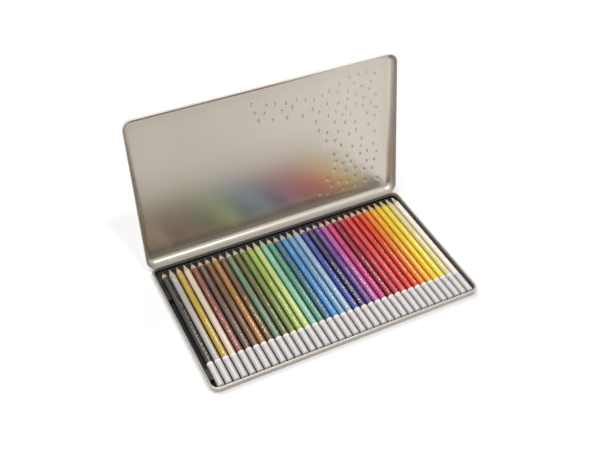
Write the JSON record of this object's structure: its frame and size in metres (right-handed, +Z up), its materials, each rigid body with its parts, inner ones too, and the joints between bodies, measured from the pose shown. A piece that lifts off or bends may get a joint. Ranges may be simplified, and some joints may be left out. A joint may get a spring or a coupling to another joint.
{
  "type": "colored pencil tin",
  "caption": "Slim hinged metal tin, standing open, with a full row of round colored pencils in a dark formed tray.",
  "frame": {"origin": "centre of the base's flat underside", "axes": "+X to the right along the row of pencils, +Y from the front edge to the hinge and lid, +Z up"},
  "size_m": [0.3366, 0.2363, 0.1923],
  "materials": {
    "tinplate": "satin tinplate with a warm lacquer",
    "tray_plastic": "vacuum-formed sheet, slightly satin",
    "pin_steel": "plain drawn wire",
    "lacquer_black": "round wooden casing, lacquered black",
    "lacquer_warm_grey": "round wooden casing, lacquered warm grey",
    "lacquer_ochre": "round wooden casing, lacquered ochre",
    "lacquer_cream": "round wooden casing, lacquered cream",
    "lacquer_red_brown": "round wooden casing, lacquered red brown",
    "lacquer_purple_brown": "round wooden casing, lacquered purple brown",
    "lacquer_umber": "round wooden casing, lacquered umber",
    "lacquer_orange_ochre": "round wooden casing, lacquered orange ochre",
    "lacquer_brown": "round wooden casing, lacquered brown",
    "lacquer_sage": "round wooden casing, lacquered sage",
    "lacquer_dark_olive": "round wooden casing, lacquered dark olive",
    "lacquer_olive_green": "round wooden casing, lacquered olive green",
    "lacquer_leaf_green": "round wooden casing, lacquered leaf green",
    "lacquer_light_green": "round wooden casing, lacquered light green",
    "lacquer_mint": "round wooden casing, lacquered mint",
    "lacquer_emerald": "round wooden casing, lacquered emerald",
    "lacquer_petrol": "round wooden casing, lacquered petrol",
    "lacquer_mid_blue": "round wooden casing, lacquered mid blue",
    "lacquer_sky_blue": "round wooden casing, lacquered sky blue",
    "lacquer_pale_blue": "round wooden casing, lacquered pale blue",
    "lacquer_ultramarine": "round wooden casing, lacquered ultramarine",
    "lacquer_navy": "round wooden casing, lacquered navy",
    "lacquer_dark_violet": "round wooden casing, lacquered dark violet",
    "lacquer_violet": "round wooden casing, lacquered violet",
    "lacquer_magenta": "round wooden casing, lacquered magenta",
    "lacquer_bordeaux": "round wooden casing, lacquered bordeaux",
    "lacquer_crimson": "round wooden casing, lacquered crimson",
    "lacquer_carmine": "round wooden casing, lacquered carmine",
    "lacquer_red": "round wooden casing, lacquered red",
    "lacquer_vermilion": "round wooden casing, lacquered vermilion",
    "lacquer_orange": "round wooden casing, lacquered orange",
    "lacquer_yellow_orange": "round wooden casing, lacquered yellow orange",
    "lacquer_golden_yellow": "round wooden casing, lacquered golden yellow",
    "lacquer_lemon": "round wooden casing, lacquered lemon",
    "lacquer_ivory": "round wooden casing, lacquered ivory",
    "lacquer_white": "round wooden casing, lacquered white"
  },
  "bodies": {
    "base": {"base_tin": "tinplate", "tray": "tray_plastic", "left_hinge_pin": "pin_steel", "right_hinge_pin": "pin_steel"},
    "lid": {"lid": "tinplate"},
    "pencil_01_body": {"pencil_01": "lacquer_black"},
    "pencil_02_body": {"pencil_02": "lacquer_warm_grey"},
    "pencil_03_body": {"pencil_03": "lacquer_ochre"},
    "pencil_04_body": {"pencil_04": "lacquer_cream"},
    "pencil_05_body": {"pencil_05": "lacquer_red_brown"},
    "pencil_06_body": {"pencil_06": "lacquer_purple_brown"},
    "pencil_07_body": {"pencil_07": "lacquer_umber"},
    "pencil_08_body": {"pencil_08": "lacquer_orange_ochre"},
    "pencil_09_body": {"pencil_09": "lacquer_brown"},
    "pencil_10_body": {"pencil_10": "lacquer_sage"},
    "pencil_11_body": {"pencil_11": "lacquer_dark_olive"},
    "pencil_12_body": {"pencil_12": "lacquer_olive_green"},
    "pencil_13_body": {"pencil_13": "lacquer_leaf_green"},
    "pencil_14_body": {"pencil_14": "lacquer_light_green"},
    "pencil_15_body": {"pencil_15": "lacquer_mint"},
    "pencil_16_body": {"pencil_16": "lacquer_emerald"},
    "pencil_17_body": {"pencil_17": "lacquer_petrol"},
    "pencil_18_body": {"pencil_18": "lacquer_mid_blue"},
    "pencil_19_body": {"pencil_19": "lacquer_sky_blue"},
    "pencil_20_body": {"pencil_20": "lacquer_pale_blue"},
    "pencil_21_body": {"pencil_21": "lacquer_ultramarine"},
    "pencil_22_body": {"pencil_22": "lacquer_navy"},
    "pencil_23_body": {"pencil_23": "lacquer_dark_violet"},
    "pencil_24_body": {"pencil_24": "lacquer_violet"},
    "pencil_25_body": {"pencil_25": "lacquer_magenta"},
    "pencil_26_body": {"pencil_26": "lacquer_bordeaux"},
    "pencil_27_body": {"pencil_27": "lacquer_crimson"},
    "pencil_28_body": {"pencil_28": "lacquer_carmine"},
    "pencil_29_body": {"pencil_29": "lacquer_red"},
    "pencil_30_body": {"pencil_30": "lacquer_vermilion"},
    "pencil_31_body": {"pencil_31": "lacquer_orange"},
    "pencil_32_body": {"pencil_32": "lacquer_yellow_orange"},
    "pencil_33_body": {"pencil_33": "lacquer_golden_yellow"},
    "pencil_34_body": {"pencil_34": "lacquer_lemon"},
    "pencil_35_body": {"pencil_35": "lacquer_ivory"},
    "pencil_36_body": {"pencil_36": "lacquer_white"}
  },
  "joints": [
    {"name": "lid_hinge", "type": "hinge", "parent": "base", "child": "lid", "pos_m": [0, 0.09467, 0.00585], "axis": [-1, 0, 0], "range_deg": [-101.5, 0]},
    {"name": "pencil_01_lift", "type": "slide", "parent": "base", "child": "pencil_01_body", "axis": [0, 0, 1], "range_m": [0, 0.02]},
    {"name": "pencil_02_lift", "type": "slide", "parent": "base", "child": "pencil_02_body", "axis": [0, 0, 1], "range_m": [0, 0.02]},
    {"name": "pencil_03_lift", "type": "slide", "parent": "base", "child": "pencil_03_body", "axis": [0, 0, 1], "range_m": [0, 0.02]},
    {"name": "pencil_04_lift", "type": "slide", "parent": "base", "child": "pencil_04_body", "axis": [0, 0, 1], "range_m": [0, 0.02]},
    {"name": "pencil_05_lift", "type": "slide", "parent": "base", "child": "pencil_05_body", "axis": [0, 0, 1], "range_m": [0, 0.02]},
    {"name": "pencil_06_lift", "type": "slide", "parent": "base", "child": "pencil_06_body", "axis": [0, 0, 1], "range_m": [0, 0.02]},
    {"name": "pencil_07_lift", "type": "slide", "parent": "base", "child": "pencil_07_body", "axis": [0, 0, 1], "range_m": [0, 0.02]},
    {"name": "pencil_08_lift", "type": "slide", "parent": "base", "child": "pencil_08_body", "axis": [0, 0, 1], "range_m": [0, 0.02]},
    {"name": "pencil_09_lift", "type": "slide", "parent": "base", "child": "pencil_09_body", "axis": [0, 0, 1], "range_m": [0, 0.02]},
    {"name": "pencil_10_lift", "type": "slide", "parent": "base", "child": "pencil_10_body", "axis": [0, 0, 1], "range_m": [0, 0.02]},
    {"name": "pencil_11_lift", "type": "slide", "parent": "base", "child": "pencil_11_body", "axis": [0, 0, 1], "range_m": [0, 0.02]},
    {"name": "pencil_12_lift", "type": "slide", "parent": "base", "child": "pencil_12_body", "axis": [0, 0, 1], "range_m": [0, 0.02]},
    {"name": "pencil_13_lift", "type": "slide", "parent": "base", "child": "pencil_13_body", "axis": [0, 0, 1], "range_m": [0, 0.02]},
    {"name": "pencil_14_lift", "type": "slide", "parent": "base", "child": "pencil_14_body", "axis": [0, 0, 1], "range_m": [0, 0.02]},
    {"name": "pencil_15_lift", "type": "slide", "parent": "base", "child": "pencil_15_body", "axis": [0, 0, 1], "range_m": [0, 0.02]},
    {"name": "pencil_16_lift", "type": "slide", "parent": "base", "child": "pencil_16_body", "axis": [0, 0, 1], "range_m": [0, 0.02]},
    {"name": "pencil_17_lift", "type": "slide", "parent": "base", "child": "pencil_17_body", "axis": [0, 0, 1], "range_m": [0, 0.02]},
    {"name": "pencil_18_lift", "type": "slide", "parent": "base", "child": "pencil_18_body", "axis": [0, 0, 1], "range_m": [0, 0.02]},
    {"name": "pencil_19_lift", "type": "slide", "parent": "base", "child": "pencil_19_body", "axis": [0, 0, 1], "range_m": [0, 0.02]},
    {"name": "pencil_20_lift", "type": "slide", "parent": "base", "child": "pencil_20_body", "axis": [0, 0, 1], "range_m": [0, 0.02]},
    {"name": "pencil_21_lift", "type": "slide", "parent": "base", "child": "pencil_21_body", "axis": [0, 0, 1], "range_m": [0, 0.02]},
    {"name": "pencil_22_lift", "type": "slide", "parent": "base", "child": "pencil_22_body", "axis": [0, 0, 1], "range_m": [0, 0.02]},
    {"name": "pencil_23_lift", "type": "slide", "parent": "base", "child": "pencil_23_body", "axis": [0, 0, 1], "range_m": [0, 0.02]},
    {"name": "pencil_24_lift", "type": "slide", "parent": "base", "child": "pencil_24_body", "axis": [0, 0, 1], "range_m": [0, 0.02]},
    {"name": "pencil_25_lift", "type": "slide", "parent": "base", "child": "pencil_25_body", "axis": [0, 0, 1], "range_m": [0, 0.02]},
    {"name": "pencil_26_lift", "type": "slide", "parent": "base", "child": "pencil_26_body", "axis": [0, 0, 1], "range_m": [0, 0.02]},
    {"name": "pencil_27_lift", "type": "slide", "parent": "base", "child": "pencil_27_body", "axis": [0, 0, 1], "range_m": [0, 0.02]},
    {"name": "pencil_28_lift", "type": "slide", "parent": "base", "child": "pencil_28_body", "axis": [0, 0, 1], "range_m": [0, 0.02]},
    {"name": "pencil_29_lift", "type": "slide", "parent": "base", "child": "pencil_29_body", "axis": [0, 0, 1], "range_m": [0, 0.02]},
    {"name": "pencil_30_lift", "type": "slide", "parent": "base", "child": "pencil_30_body", "axis": [0, 0, 1], "range_m": [0, 0.02]},
    {"name": "pencil_31_lift", "type": "slide", "parent": "base", "child": "pencil_31_body", "axis": [0, 0, 1], "range_m": [0, 0.02]},
    {"name": "pencil_32_lift", "type": "slide", "parent": "base", "child": "pencil_32_body", "axis": [0, 0, 1], "range_m": [0, 0.02]},
    {"name": "pencil_33_lift", "type": "slide", "parent": "base", "child": "pencil_33_body", "axis": [0, 0, 1], "range_m": [0, 0.02]},
    {"name": "pencil_34_lift", "type": "slide", "parent": "base", "child": "pencil_34_body", "axis": [0, 0, 1], "range_m": [0, 0.02]},
    {"name": "pencil_35_lift", "type": "slide", "parent": "base", "child": "pencil_35_body", "axis": [0, 0, 1], "range_m": [0, 0.02]},
    {"name": "pencil_36_lift", "type": "slide", "parent": "base", "child": "pencil_36_body", "axis": [0, 0, 1], "range_m": [0, 0.02]}
  ]
}
